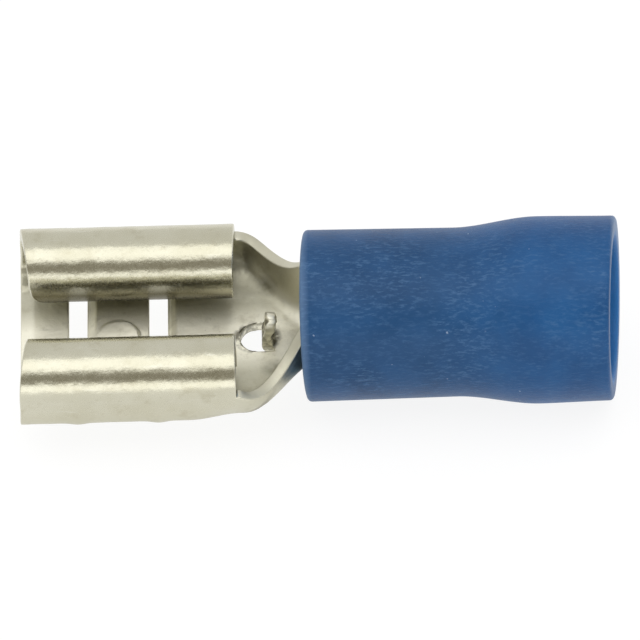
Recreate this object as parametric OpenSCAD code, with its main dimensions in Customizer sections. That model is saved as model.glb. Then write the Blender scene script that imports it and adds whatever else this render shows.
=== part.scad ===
// Insulated female spade terminal for a 6.3 x 0.8 mm blade.
//
// Two pieces.  The contact is one strip of tinned brass: its front is
// rolled into a socket that grips the blade, its middle narrows from an
// open channel to a round tube, and its rear is the barrel that is
// crimped on the wire.  A moulded vinyl sleeve is pressed over the barrel
// and flares behind it, where it takes in the wire's own insulation.
//
// +X runs from the socket's mouth to the wire entry, +Z is up, and the
// origin is under the middle of the part, at the sleeve's lowest line.
// Inside the modules x = 0 is the mouth and z = 0 the strip's underside.

/* [Strip] */
// Thickness of the brass strip
strip_t = 0.4; // [0.3:0.05:0.45]

/* [Socket] */
// Width of the blade that the socket takes
blade_w = 6.3; // [5.8:0.1:7]
// Thickness of the blade
blade_t = 0.8; // [0.6:0.05:0.9]
// Room on each side of the blade
blade_gap = 0.2; // [0.12:0.01:0.25]
// How much lower the relaxed slot is than the blade is thick
grip = 0.2; // [0.1:0.01:0.3]
// Length of the socket
socket_l = 7.55; // [7:0.05:9]
// Height of the socket over its rolls
socket_h = 2.98; // [2.9:0.01:3.2]
// Outer radius of each roll
roll_r = 1.31; // [1.2:0.01:1.35]
// Outer radius of the bend between the floor and each side
side_bend_r = 0.8; // [0.6:0.05:1]
// How far each roll's front end slants back at its inner limb
mouth_slant = 0.38; // [0.2:0.01:0.45]
// Radius of the rounded front corner of each free edge
mouth_corner_r = 1; // [0.7:0.05:1.1]

/* [Locking bridge] */
// Distance from the mouth to the locking dimple
dimple_x = 3.5; // [3.3:0.05:3.8]
// Radius of the locking dimple
dimple_r = 0.75; // [0.6:0.05:0.85]
// Rise of the dimple's steep side
dimple_h = 0.22; // [0.15:0.01:0.28]
// Bridge in front of the dimple's centre
bridge_front = 1.14; // [1:0.02:1.3]
// Bridge behind the dimple's centre
bridge_back = 1; // [0.95:0.01:1.3]
// Rise of the bowed bridge at its middle
bridge_bow = 0.16; // [0.08:0.01:0.2]
// Length of each window in the floor
window_l = 0.7; // [0.5:0.02:0.9]
// Flat floor left beside the windows
window_rim = 0.4; // [0.3:0.05:0.6]
// Length of the coined lead-in behind each window
lead_l = 0.32; // [0.2:0.02:0.4]
// Depth of the coined lead-in
lead_d = 0.22; // [0.1:0.01:0.25]

/* [Neck] */
// Length of the neck between the socket and the barrel
neck_l = 3.65; // [3.5:0.05:4]
// Height of the neck's sides where they leave the socket
neck_h = 1.76; // [1.7:0.01:1.9]
// How far the strip is cut in on each side of the neck
neck_waist = 1.48; // [1.3:0.01:1.6]

/* [Wire stop] */
// Distance from the socket to the stop's front face
stop_x = 1.05; // [1:0.01:1.15]
// Length of the hole that the stop is lanced from
lance_l = 0.92; // [0.8:0.01:0.95]
// Width of that hole
lance_w = 1.2; // [1:0.05:1.4]
// Slit on each side of the stop
lance_slit = 0.15; // [0.1:0.01:0.2]
// Height of the stop over the floor
stop_h = 1.2; // [1:0.05:1.3]
// Inner radius of the bend at the stop's root
stop_bend = 0.1; // [0.06:0.01:0.15]

/* [Barrel] */
// Inner diameter of the barrel
barrel_d = 2.3; // [2.2:0.05:2.4]
// Length of the barrel
barrel_l = 5; // [4.5:0.1:5.4]
// Gap of the butt seam along the barrel's top
seam_gap = 0.08; // [0.06:0.01:0.12]
// Number of V-shaped gripping grooves inside the barrel
groove_n = 3; // [2:1:4]
// Width of each gripping groove
groove_w = 0.35; // [0.25:0.05:0.4]
// Depth of each gripping groove
groove_d = 0.1; // [0.06:0.01:0.12]

/* [Sleeve] */
// Length of the sleeve
sleeve_l = 11; // [10.8:0.1:12]
// How far the sleeve reaches over the neck
sleeve_over_neck = 1.2; // [1:0.05:1.3]
// Outer radius at the sleeve's front
sleeve_front_r = 3.02; // [2.95:0.01:3.1]
// Outer radius at its waist, just before the flare
sleeve_waist_r = 2.97; // [2.9:0.01:3.02]
// Outer radius at the widest place of the flared rear
sleeve_flare_r = 3.27; // [3.2:0.01:3.5]
// Outer radius at the rear rim
sleeve_rim_r = 3.22; // [3.15:0.01:3.25]
// Distance from the sleeve's front to the start of its flare
flare_from = 5; // [4.5:0.1:5.5]
// Length of the flare
flare_l = 3; // [2.5:0.1:3.5]
// Wall of the flared rear
sleeve_wall = 0.76; // [0.6:0.02:0.85]
// Radius of the rounded rims
rim_round = 0.14; // [0.08:0.01:0.2]
// Room between the barrel and the sleeve's bore
barrel_fit = 0.04; // [0.03:0.01:0.1]
// Room between the neck and the sleeve's mouth
mouth_fit = 0.15; // [0.12:0.01:0.2]
// Length of the funnel from the wire entry down to the barrel
funnel_l = 0.8; // [0.5:0.05:1]
// Length of the narrow throat behind the barrel
throat_l = 0.2; // [0.1:0.05:0.4]
// How much wider than the barrel's bore the throat is, all round
throat_step = 0.2; // [0.16:0.01:0.3]

/* [Hidden] */

tin = [0.74, 0.73, 0.68];
vinyl_blue = [0.2, 0.36, 0.55];
fine = 96;

// Step by which a joined shape stays inside its neighbour's surfaces
let_in = 0.015;
// Length over which joined shapes overlap
seat = 0.12;
// Overshoot of the cutting shapes
over = 1;

// Socket
socket_w = blade_w + 2 * (blade_gap + strip_t);
floor_half = socket_w / 2 - side_bend_r;
roll_y = socket_w / 2 - roll_r;
roll_z = socket_h - roll_r;
slot_z = strip_t + blade_t - grip;
curl_end = 180 + asin((roll_z - slot_z) / roll_r);
trim_z = strip_t + grip;
corner_share = 0.9;

// Windows and the bridge between them
window_half = floor_half - window_rim;
bridge_x0 = dimple_x - bridge_front;
bridge_x1 = dimple_x + bridge_back;
bow_steps = 24;
lead_rise = 0.4;

// Barrel
bore_r = barrel_d / 2;
barrel_r = bore_r + strip_t;
barrel_x = socket_l + neck_l;
groove_pitch = barrel_l / (groove_n + 1);

// Neck: its rings are counted by u, from 0 at the socket to 1 at the barrel
neck_rings = 16;
flat_steps = 2;
bend_steps = 6;
side_steps = 4;
neck_steps = flat_steps + bend_steps + side_steps;
neck_t = strip_t - 2 * let_in;
bend_mid_r = side_bend_r - strip_t / 2;
barrel_mid_r = bore_r + strip_t / 2;
taper_from = 0;
taper_to = 0.88;
curl_from = 0.53;
bend_by = 0.59;
side_len = floor_half + bend_mid_r * PI / 2 + neck_h - side_bend_r;
tube_len = PI * barrel_mid_r - seam_gap / 2 - let_in;

// Wire stop
stop_front = socket_l + stop_x;
stop_half = lance_w / 2 - lance_slit;
stop_top = strip_t + stop_h;
stop_t = neck_t - 2 * let_in;
bend_x = stop_front + strip_t + stop_bend;
bend_z = strip_t + stop_bend;

// Sleeve: its own profile starts at its front end
sleeve_x = barrel_x - sleeve_over_neck;
sleeve_bore_r = barrel_r + barrel_fit;
entry_r = sleeve_flare_r - sleeve_wall;
throat_r = bore_r + throat_step;
shoulder_x = sleeve_over_neck + barrel_l + barrel_fit;
mouth_steps = 8;
flare_steps = 14;
total_l = sleeve_x + sleeve_l;

function mix(a, b, u) = a + (b - a) * u;
function ease(u) = let (c = min(1, max(0, u))) c * c * (3 - 2 * c);

// Points of an arc in a plane, from angle a to angle b
function arc(x, y, r, a, b, n = 8) =
    [for (i = [0:n]) let (t = mix(a, b, i / n)) [x + r * cos(t), y + r * sin(t)]];

// ------------------------------------------------------------ directions

// Lays a section, drawn in Y and Z, along +X
module along_x(x, l) {
    translate([x, 0, 0]) rotate([90, 0, 90]) linear_extrude(l) children();
}

// Lays a side view, drawn in X and Z, across the part
module across(half) {
    translate([0, half, 0]) rotate([90, 0, 0]) linear_extrude(2 * half) children();
}

// Turns a shape that stands on +Z to lie on the barrel's axis
module on_axis(x) {
    translate([x, 0, barrel_r]) rotate([0, 90, 0]) children();
}

// ---------------------------------------------------------------- socket

// Part of a strip bent round the origin, between two angles
module bent_strip(r, a, b) {
    intersection() {
        difference() {
            circle(r, $fn = fine);
            circle(r - strip_t, $fn = fine);
        }
        polygon(concat([[0, 0]], arc(0, 0, 2 * r, a, b, 6)));
    }
}

// Right half of the socket's section: floor, bend, side and roll
module socket_half() {
    square([floor_half, strip_t]);
    translate([floor_half, side_bend_r]) bent_strip(side_bend_r, -90, 0);
    translate([socket_w / 2 - strip_t, side_bend_r]) square([strip_t, roll_z - side_bend_r]);
    translate([roll_y, roll_z]) bent_strip(roll_r, 0, curl_end);
}

// What the slanted roll ends and their rounded corners leave out.  The
// corner's round meets the free edge at a slight angle
module mouth_trim() {
    limb_y = roll_y - roll_r;
    corner_x = mouth_slant + mouth_corner_r;
    corner_z = slot_z + corner_share * mouth_corner_r;
    slant = [[-over, socket_w / 2], [0, socket_w / 2], [mouth_slant, limb_y]];
    for (side = [0, 1]) mirror([0, side, 0]) translate([0, 0, trim_z])
        linear_extrude(socket_h) polygon(concat(slant, [[mouth_slant, 0], [-over, 0]]));
    across(roll_y) difference() {
        translate([-over, trim_z]) square([over + corner_x, corner_z - trim_z]);
        translate([corner_x, corner_z]) circle(mouth_corner_r, $fn = fine);
    }
}

// Cut that leaves a slope, which rises along +X from an edge at x
module lead_in(x) {
    low = [x, strip_t - lead_d];
    high = [x + lead_l * (1 + lead_rise / lead_d), strip_t + lead_rise];
    across(window_half + seat / 2)
        polygon([low, high, [x - window_l / 2, high[1]], [x - window_l / 2, low[1]]]);
}

// Height that the bowed bridge gains at y
function bow(y) = bridge_bow * (1 + cos(180 * min(1, abs(y) / window_half))) / 2;

// Ramp that fills the dimple's outline, of a given rise, over z = low
module ramp(r, low, at_front, at_back) {
    intersection() {
        translate([dimple_x, 0, low]) cylinder(h = socket_h, r = r, $fn = fine);
        across(r + over) polygon([
            [dimple_x - dimple_r, low - over], [dimple_x + dimple_r, low - over],
            [dimple_x + dimple_r, at_back], [dimple_x - dimple_r, at_front]]);
    }
}

// Bowed bridge with the dimple that snaps into the blade's hole
module bridge() {
    end_y = window_half + seat;
    ys = [for (i = [0:bow_steps]) mix(-end_y, end_y, i / bow_steps)];
    top = [for (y = ys) [y, strip_t - let_in + bow(y)]];
    bottom = [for (i = [bow_steps:-1:0]) [ys[i], let_in + bow(ys[i])]];
    crest = strip_t + bridge_bow;
    difference() {
        union() {
            difference() {
                along_x(bridge_x0, bridge_x1 - bridge_x0) polygon(concat(top, bottom));
                lead_in(bridge_x0);
            }
            ramp(dimple_r, strip_t / 2 + bridge_bow / 2, crest, crest + dimple_h);
        }
        ramp(dimple_r - strip_t / 2, -over, bridge_bow, bridge_bow + dimple_h);
    }
}

module socket() {
    difference() {
        along_x(0, socket_l) {
            socket_half();
            mirror([1, 0]) socket_half();
        }
        mouth_trim();
        translate([bridge_x0 - window_l, -window_half, -over])
            cube([bridge_x1 - bridge_x0 + 2 * window_l, 2 * window_half, strip_t + 2 * over]);
        lead_in(bridge_x1 + window_l);
        lead_in(0);
    }
    bridge();
}

// ------------------------------------------------------------------ neck

function neck_x(u) = socket_l + neck_l * u;

// Outer half width, middle radius of the lower bend, length of the strip's
// half and curvature of its upper part, all at u
function neck_half(u) =
    mix(socket_w / 2, barrel_r, ease((u - taper_from) / (taper_to - taper_from)));
function neck_bend(u) = mix(bend_mid_r, barrel_mid_r, ease(u / bend_by));
function neck_len(u) = mix(side_len, tube_len, u) - neck_waist * pow(sin(180 * u), 2);
function neck_curl(u) = ease((u - curl_from) / (1 - curl_from)) / barrel_mid_r;

// Middle line of the section at u: [y, z, heading] at the length s from
// the centre line, which runs flat, round the lower bend and then curls in
function mid_line(u, s) =
    let (r = neck_bend(u), flat = neck_half(u) - strip_t / 2 - r, k = neck_curl(u))
    let (turned = (s - flat) / r * 180 / PI, rest = s - flat - r * PI / 2)
    s < flat ? [s, strip_t / 2, 0] :
    turned < 90 ? [flat + r * sin(turned), strip_t / 2 + r * (1 - cos(turned)), turned] :
    k * rest < 0.001 ? [flat + r, strip_t / 2 + r + rest, 90] :
    let (b = k * rest * 180 / PI)
    [flat + r - (1 - cos(b)) / k, strip_t / 2 + r + sin(b) / k, 90 + b];

// Share of the strip's half at step j: crowded on the bend beside the
// socket, and even round the barrel
function share(u, j) =
    let (bend = bend_mid_r * PI / 2, side = side_len - floor_half - bend)
    let (at_socket = (j < flat_steps ? floor_half * j / flat_steps :
        j < flat_steps + bend_steps ? floor_half + bend * (j - flat_steps) / bend_steps :
        floor_half + bend + side * (j - flat_steps - bend_steps) / side_steps) / side_len)
    mix(at_socket, j / neck_steps, u);

// Point of the section at u, step j of the half strip, off to one face
function skin(u, j, off) =
    let (p = mid_line(u, neck_len(u) * share(u, abs(j))), side = j < 0 ? -1 : 1)
    [side * (p[0] + off * sin(p[2])), p[1] - off * cos(p[2])];

// Closed ring of the section at u: the outer face, then the inner face
function neck_ring(u) = concat(
    [for (j = [-neck_steps:neck_steps]) skin(u, j, neck_t / 2)],
    [for (j = [neck_steps:-1:-neck_steps]) skin(u, j, -neck_t / 2)]);

// The strip between the socket and the barrel, as a skin over its rings
module neck_strip() {
    us = [for (i = [0:neck_rings]) i / neck_rings];
    xs = concat([neck_x(0) - seat], [for (u = us) neck_x(u)], [neck_x(1) + seat]);
    sections = [for (u = concat([0], us, [1])) neck_ring(u)];
    n = len(sections[0]);
    last = len(xs) - 1;
    points = [for (i = [0:last]) for (p = sections[i]) [xs[i], p[0], p[1]]];
    sides = [for (i = [0:last - 1]) for (j = [0:n - 1])
        let (a = i * n + j, b = i * n + (j + 1) % n) each [[a, b + n, b], [a, a + n, b + n]]];
    front = [for (j = [0:n / 2 - 2]) each [[j, n - 2 - j, n - 1 - j], [j, j + 1, n - 2 - j]]];
    back = [for (f = front) [for (k = [2:-1:0]) f[k] + last * n]];
    polyhedron(points, concat(sides, front, back), convexity = 6);
}

// Outline of the hole that the wire stop is bent up from
module lance_hole() {
    round_x = stop_front - lance_l + lance_w / 2;
    translate([0, 0, -over]) linear_extrude(strip_t + 2 * over) polygon(concat(
        arc(round_x, 0, lance_w / 2, 90, 270, 16),
        [[bend_x, -lance_w / 2], [bend_x, lance_w / 2]]));
}

// Tongue bent up out of the floor, which stops the wire's strands
module wire_stop() {
    edge = (strip_t - stop_t) / 2;
    intersection() {
        across(stop_half) polygon(concat(
            arc(bend_x, bend_z, stop_bend + strip_t - edge, 270, 180),
            [[stop_front + edge, stop_top], [stop_front + edge + stop_t, stop_top]],
            arc(bend_x, bend_z, stop_bend + edge, 180, 270),
            [[bend_x + seat, strip_t - edge], [bend_x + seat, edge]]));
        along_x(stop_front, 2 * strip_t + seat + stop_bend) polygon(concat(
            [[-stop_half, 0], [stop_half, 0]],
            arc(0, stop_top - stop_half, stop_half, 0, 180, 16)));
    }
}

module neck() {
    difference() {
        neck_strip();
        lance_hole();
    }
    wire_stop();
}

// ---------------------------------------------------------------- barrel

// Half section of the bore with its grooves: [radius, distance along it]
module bore_section() {
    grooves = [for (i = [1:groove_n]) let (x = i * groove_pitch) each
        [[bore_r, x - groove_w / 2], [bore_r + groove_d, x], [bore_r, x + groove_w / 2]]];
    polygon(concat([[0, -over], [bore_r, -over]], grooves,
        [[bore_r, barrel_l + over], [0, barrel_l + over]]));
}

module barrel() {
    on_axis(barrel_x) difference() {
        cylinder(h = barrel_l, r = barrel_r, $fn = fine);
        rotate_extrude($fn = fine) bore_section();
        translate([-barrel_r - over, -seam_gap / 2, -over])
            cube([barrel_r + over - bore_r / 2, seam_gap, barrel_l + 2 * over]);
    }
}

// ---------------------------------------------------------------- sleeve

// Outer radius at a distance x from the sleeve's front
function sleeve_r(x) =
    let (flare = ease((x - flare_from) / flare_l), top = flare_from + flare_l)
    let (body = mix(sleeve_front_r, sleeve_waist_r, min(1, x / flare_from)))
    mix(body, sleeve_flare_r, flare)
    - (sleeve_flare_r - sleeve_rim_r) * ease((x - top) / (sleeve_l - top));

// Farthest that the neck's section at u reaches from the barrel's axis
function neck_reach(u) =
    max([for (j = [0:neck_steps]) let (p = skin(u, j, strip_t / 2)) norm([p[0], p[1] - barrel_r])]);

// Half section of the sleeve: [radius, distance from its front]
module sleeve_section() {
    rear_x = sleeve_l - rim_round;
    mouth = [for (i = [mouth_steps:-1:0])
        let (x = sleeve_over_neck * i / mouth_steps, u = 1 - (sleeve_over_neck - x) / neck_l)
        [max(sleeve_bore_r, neck_reach(u) + mouth_fit), x]];
    front_rim = arc(sleeve_front_r - rim_round, rim_round, rim_round, -90, 0, 5);
    outside = [for (i = [0:flare_steps])
        let (x = flare_from + (rear_x - flare_from) * i / flare_steps) [sleeve_r(x), x]];
    rear_rim = arc(sleeve_rim_r - rim_round, rear_x, rim_round, 0, 90, 5);
    funnel_x = shoulder_x + throat_l;
    inside = [
        [entry_r + rim_round, sleeve_l], [entry_r, sleeve_l - rim_round],
        [entry_r, funnel_x + funnel_l], [throat_r, funnel_x],
        [throat_r, shoulder_x], [sleeve_bore_r, shoulder_x]];
    polygon(concat(front_rim, outside, [for (i = [1:5]) rear_rim[i]], inside, mouth));
}

// ----------------------------------------------------------------- pieces

module in_place() {
    translate([-total_l / 2, 0, sleeve_flare_r - barrel_r]) children();
}

module metal_contact() {
    color(tin) in_place() {
        socket();
        neck();
        barrel();
    }
}

module insulating_sleeve() {
    color(vinyl_blue) in_place()
        on_axis(sleeve_x) rotate_extrude($fn = fine) sleeve_section();
}

metal_contact();
insulating_sleeve();
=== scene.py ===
"""Insulated female spade terminal: a rolled tinned-brass contact in a flared vinyl sleeve.

The contact is one sheet.  It is laid out flat as a grid of x, along the part, and s, the
length from the centre line across the strip, and every point is then bent to its place:
floor, side and roll in the socket, open channel in the neck, round tube in the barrel.
The sleeve is turned from one profile.  Lengths are in millimetres until a mesh is made.
"""
import math

import bpy
import numpy as np
from mathutils import Matrix, Vector, noise


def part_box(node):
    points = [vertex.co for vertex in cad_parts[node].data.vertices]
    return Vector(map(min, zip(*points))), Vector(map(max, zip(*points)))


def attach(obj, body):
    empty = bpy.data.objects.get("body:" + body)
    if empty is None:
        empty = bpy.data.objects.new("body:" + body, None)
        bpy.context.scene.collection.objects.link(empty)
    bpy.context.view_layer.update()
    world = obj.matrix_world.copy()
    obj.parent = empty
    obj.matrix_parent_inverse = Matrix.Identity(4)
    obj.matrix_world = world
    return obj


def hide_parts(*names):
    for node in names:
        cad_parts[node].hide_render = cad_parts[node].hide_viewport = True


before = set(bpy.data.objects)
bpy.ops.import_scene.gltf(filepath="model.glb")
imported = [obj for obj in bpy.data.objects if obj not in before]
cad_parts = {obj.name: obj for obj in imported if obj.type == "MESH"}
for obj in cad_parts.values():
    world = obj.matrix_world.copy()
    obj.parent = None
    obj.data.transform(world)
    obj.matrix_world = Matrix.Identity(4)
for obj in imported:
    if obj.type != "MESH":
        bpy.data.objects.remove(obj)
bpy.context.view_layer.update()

MM = 0.001


def in_mm(corner):
    return [value / MM for value in corner]


CONTACT_LOW, CONTACT_HIGH = map(in_mm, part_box("metal_contact"))
SLEEVE_LOW, SLEEVE_HIGH = map(in_mm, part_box("insulating_sleeve"))

# ------------------------------------------------------------------ sizes

# Strip
STRIP_T = 0.4
RIM_R = 0.05

# Socket
SOCKET_W = 2 * CONTACT_HIGH[1]
SOCKET_L = 7.55
SOCKET_H = 2.98
ROLL_R = 1.31
SIDE_BEND_R = 0.8
SLOT_Z = 1.0
MOUTH_SLANT = 0.38
CORNER_R = 1.0
CORNER_SHARE = 0.9
SIDE_PULL = 0.05
ROLL_PULL = 0.09
UNEVEN_COARSE = 0.012
UNEVEN_FINE = 0.006

# Windows, bridge and coined lead-ins
WINDOW_L = 0.64
WINDOW_HALF = 2.5
DIMPLE_X = 3.4
DIMPLE_R = 0.75
DIMPLE_H = 0.22
DIMPLE_EDGE = 0.09
BRIDGE_X0 = 2.33
BRIDGE_X1 = 4.5
BRIDGE_BOW = 0.16
LEAD_L = 0.32
LEAD_D = 0.22
FRONT_LEAD_L = 0.5
FRONT_LEAD_D = 0.12

# Neck
NECK_L = 3.65
NECK_H = 1.5
NECK_WAIST = 1.19
TAPER_FROM = 0.06
TAPER_TO = 0.775
CURL_FROM = 0.67
BEND_GROWS_FROM = 5.63
BEND_GROWS_L = 2.27
SOFT_BEND = 0.3
BEND_OUT = math.radians(25)

# Wire stop and the hole that it is lanced from
STOP_X = SOCKET_L + 0.87
LANCE_L = 0.74
LANCE_HALF = 0.6
STOP_HALF = 0.45
STOP_H = 1.2
STOP_LEAN = math.radians(9)
STOP_BEND = 0.03
STOP_TWIST = 0.06
STOP_WANDER = 0.06
STOP_TEAR = 0.09
STOP_SWELL = 0.04

# Barrel
BORE_R = 1.15
BARREL_R = BORE_R + STRIP_T
BARREL_X = SOCKET_L + NECK_L
BARREL_END = BARREL_X + 5.0
SEAM_GAP = 0.08
GROOVE_N = 3
GROOVE_W = 0.35
GROOVE_D = 0.1

# Sleeve
SLEEVE_L = SLEEVE_HIGH[0] - SLEEVE_LOW[0]
FLARE_R = SLEEVE_HIGH[1] - 0.004
FRONT_R = 2.995
WAIST_R = 2.945
REAR_R = 3.22
FLARE_FROM = 5.2
FLARE_L = 3.0
SLEEVE_WALL = 0.76
SLEEVE_RIM = 0.14
OVER_NECK = 1.2
BARREL_FIT = 0.04
MOUTH_FIT = 0.15
FUNNEL_L = 0.8
THROAT_L = 0.2
THROAT_R = BORE_R + 0.2
# Both ends are cut a little askew: rise of the cut along X over Y and over Z
FRONT_CUT = (0.039, -0.05)
REAR_CUT = (0.070, -0.029)
REAR_SKEW = REAR_R * math.hypot(*REAR_CUT)
SKEWED_PART = 3
PROFILE_STEP = 0.08
WELD = 0.002

# Places that follow from the sizes
FLOOR_HALF = SOCKET_W / 2 - SIDE_BEND_R
ROLL_MID_R = ROLL_R - STRIP_T / 2
ROLL_Z = SOCKET_H - ROLL_R
CURL_END = math.pi + math.asin((ROLL_Z - SLOT_Z) / ROLL_R)
BEND_MID_R = SIDE_BEND_R - STRIP_T / 2
BARREL_MID_R = BORE_R + STRIP_T / 2
SIDE_STRAIGHT = ROLL_Z - SIDE_BEND_R
BEND_END = FLOOR_HALF + BEND_MID_R * math.pi / 2
SIDE_LEN = BEND_END + NECK_H - SIDE_BEND_R
ROLL_END = BEND_END + SIDE_STRAIGHT + ROLL_MID_R * CURL_END
TUBE_LEN = math.pi * BARREL_MID_R - SEAM_GAP / 2
STOP_ROOT_X = STOP_X + STRIP_T + STOP_BEND
LANCE_ROUND_X = STOP_X - LANCE_L + LANCE_HALF

AXIS_Z = (SLEEVE_LOW[2] + SLEEVE_HIGH[2]) / 2
ORIGIN = np.array([CONTACT_LOW[0], 0.0, AXIS_Z - BARREL_R])


def ease(value):
    held = np.clip(value, 0.0, 1.0)
    return held * held * (3 - 2 * held)


def mix(a, b, share):
    return a + (b - a) * share


# --------------------------------------------------------- the bent strip

def neck_share(x):
    """0 in the socket, 1 in the barrel."""
    return np.clip((x - SOCKET_L) / NECK_L, 0.0, 1.0)


def half_width(u):
    return mix(SOCKET_W / 2, BARREL_R, ease((u - TAPER_FROM) / (TAPER_TO - TAPER_FROM)))


def strip_half(u):
    """Length of the strip's half behind the socket."""
    return mix(SIDE_LEN, TUBE_LEN, u) - NECK_WAIST * np.sin(math.pi * u) ** 2


def middle(x, s):
    """Middle surface of the bent strip at x and the length s from the centre line, s >= 0."""
    u = neck_share(x)
    grown = (x - BEND_GROWS_FROM) / BEND_GROWS_L
    r = mix(BEND_MID_R, BARREL_MID_R, ease(grown))
    wide = r * (1 + SOFT_BEND * ease(3 * grown) * ease(2 - 2 * u))
    out_y, out_z = math.sin(BEND_OUT), 1 - math.cos(BEND_OUT)
    tight = (r - wide * (out_y + out_z)) / (1 - out_z - out_y)
    curl = ease((u - CURL_FROM) / (1 - CURL_FROM)) / BARREL_MID_R
    roll = mix(1 / ROLL_MID_R, curl, ease(u / 0.1))
    legs = ((half_width(u) - STRIP_T / 2 - r, 0), (wide * BEND_OUT, 1 / wide),
            (tight * (math.pi / 2 - 2 * BEND_OUT), 1 / tight), (wide * BEND_OUT, 1 / wide),
            (ROLL_Z - STRIP_T / 2 - r, curl), (SIDE_LEN + ROLL_END, roll))
    left, heading = s + 0 * x, 0 * (s + x)
    y, z = 0, STRIP_T / 2
    for length, curve in legs:
        run = np.minimum(left, length)
        curve = np.maximum(curve, 1e-6)
        turned = heading + curve * run
        y = y + (np.sin(turned) - np.sin(heading)) / curve
        z = z + (np.cos(heading) - np.cos(turned)) / curve
        heading, left = turned, left - run
    return np.stack([x + 0 * s, y, z], -1)


PROBE = 0.002


def bent(x, s):
    """Places and upward normals of the middle surface; s < 0 is the -Y half."""
    side = np.where(s < 0, -1.0, 1.0)
    length = np.abs(s)
    place = middle(x, length)
    along = middle(x + PROBE, length) - middle(x - PROBE, length)
    across = middle(x, length + PROBE) - middle(x, np.maximum(length - PROBE, 0.0))
    normal = np.cross(along, across)
    normal /= np.linalg.norm(normal, axis=-1, keepdims=True)
    place[..., 1] *= side
    normal[..., 1] *= side
    return place, normal


# ---------------------------------------------------- grid of the flat strip

def ruler(stops):
    """Positions from stop to stop, each stretch cut evenly by its own step."""
    marks = [stops[0][0]]
    for (start, step), (end, _) in zip(stops, stops[1:]):
        count = max(1, round((end - start) / step))
        marks += [start + (end - start) * (i + 1) / count for i in range(count)]
    return np.array(marks)


CELL = 0.085
FINE_CELL = 0.055
NECK_CELL = 0.075
WIDE_CELL = 0.12
EDGE_CELL = 0.1
MOUTH_ZONE = 1.45
LANCE_ZONE = 6.2
INNER_HALF = 1.2

columns = ruler([
    (0, CELL), (FRONT_LEAD_L, CELL), (MOUTH_ZONE, EDGE_CELL), (BRIDGE_X0 - WINDOW_L, WIDE_CELL),
    (BRIDGE_X0, CELL), (BRIDGE_X0 + LEAD_L, FINE_CELL), (BRIDGE_X1 - 0.2, EDGE_CELL),
    (BRIDGE_X1, WIDE_CELL), (BRIDGE_X1 + WINDOW_L, CELL), (BRIDGE_X1 + WINDOW_L + LEAD_L, CELL),
    (LANCE_ZONE, NECK_CELL), (SOCKET_L, NECK_CELL), (LANCE_ROUND_X, 0.08), (STOP_ROOT_X, CELL),
    (BARREL_X, WIDE_CELL), (BARREL_END, 0)])
half_rows = ruler([
    (0, 0.06), (0.3, 0.07), (0.37, 0.08), (STOP_HALF, 0.05), (0.5, 0.04), (0.54, 0.03),
    (0.57, 0.02), (0.59, 0.01), (LANCE_HALF, 0.07), (0.81, 0.08), (INNER_HALF, CELL),
    (WINDOW_HALF - 0.1, 0.1), (WINDOW_HALF, EDGE_CELL), (BEND_END, CELL),
    (SIDE_LEN - EDGE_CELL, EDGE_CELL), (SIDE_LEN, CELL), (ROLL_END, 0)])
rows = np.concatenate([-half_rows[:0:-1], half_rows])
ROW_EDGE = int(np.argmin(np.abs(half_rows - SIDE_LEN)))


def column_at(x):
    return int(np.argmin(np.abs(columns - x)))


def strip_rows(x):
    """Lengths s of all rows at the columns x: the neck's rows close up towards its edges."""
    base = np.broadcast_to(half_rows, x.shape + half_rows.shape).copy()
    u = neck_share(x)[:, None]
    first = int(np.argmin(np.abs(half_rows - INNER_HALF)))
    last = ROW_EDGE - 1
    socket_share = (half_rows[first:last + 1] - INNER_HALF) / (half_rows[last] - INNER_HALF)
    even_share = np.linspace(0, 1, last + 1 - first)
    reach = strip_half(u) - EDGE_CELL - INNER_HALF
    base[:, first:last + 1] = INNER_HALF + reach * mix(socket_share, even_share, ease(u))
    base[:, ROW_EDGE] = strip_half(u)[:, 0]
    return np.concatenate([-base[:, :0:-1], base], axis=1)


def mouth_front(s):
    """How far back the strip begins at s: slanted roll ends with rounded corners."""
    place = middle(np.zeros_like(s), np.abs(s))
    y, z = place[:, 1], place[:, 2]
    slant = MOUTH_SLANT * np.clip((SOCKET_W / 2 - y) / (2 * ROLL_R), 0, 1)
    slant = slant * ease((z - STRIP_T) / SIDE_BEND_R)
    low = SLOT_Z + CORNER_SHARE * CORNER_R
    under = np.clip((low - z) / CORNER_R, 0, 0.999) * (np.abs(s) > BEND_END + SIDE_STRAIGHT + 1)
    corner = MOUTH_SLANT + CORNER_R * (1 - np.sqrt(1 - under ** 2))
    return np.maximum(slant, np.where(under > 0, corner, 0))


def lay_out():
    """x and s of every grid point, with the mouth's outline and the lance's round end."""
    s = strip_rows(columns)
    x = np.repeat(columns[:, None], len(rows), axis=1)
    front = mouth_front(rows)[None, :]
    zone = x < MOUTH_ZONE
    x = np.where(zone, front + x * (MOUTH_ZONE - front) / MOUTH_ZONE, x)
    round_in = -np.sqrt(np.maximum(LANCE_HALF ** 2 - s ** 2, 0))
    before = np.clip((x - LANCE_ZONE) / (LANCE_ROUND_X - LANCE_ZONE), 0, 1)
    drawn_in = np.where(x > LANCE_ROUND_X + 1e-6, 0, before) * round_in
    short = ease((s - SIDE_LEN) / (ROLL_END - SIDE_LEN)) * ROLL_PULL
    return x + drawn_in - short * ease((x - LANCE_ZONE) / (SOCKET_L - LANCE_ZONE)), s


class Sheet:
    """Points on the middle surface and the cells between them, seen from above."""

    def __init__(self):
        self.place, self.normal, self.top, self.bottom, self.flat = [], [], [], [], []
        self.cells = []

    def add(self, place, normal, top, bottom, flat):
        self.place.append(place)
        self.normal.append(normal)
        self.top.append(top)
        self.bottom.append(bottom)
        self.flat.append(flat)
        return len(self.place) - 1

    def edges_out(self):
        """Directed edges that only one cell uses."""
        used = set()
        for cell in self.cells:
            for a, b in zip(cell, cell[1:] + cell[:1]):
                used.add((a, b))
        return [(a, b) for a, b in used if (b, a) not in used]


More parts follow.
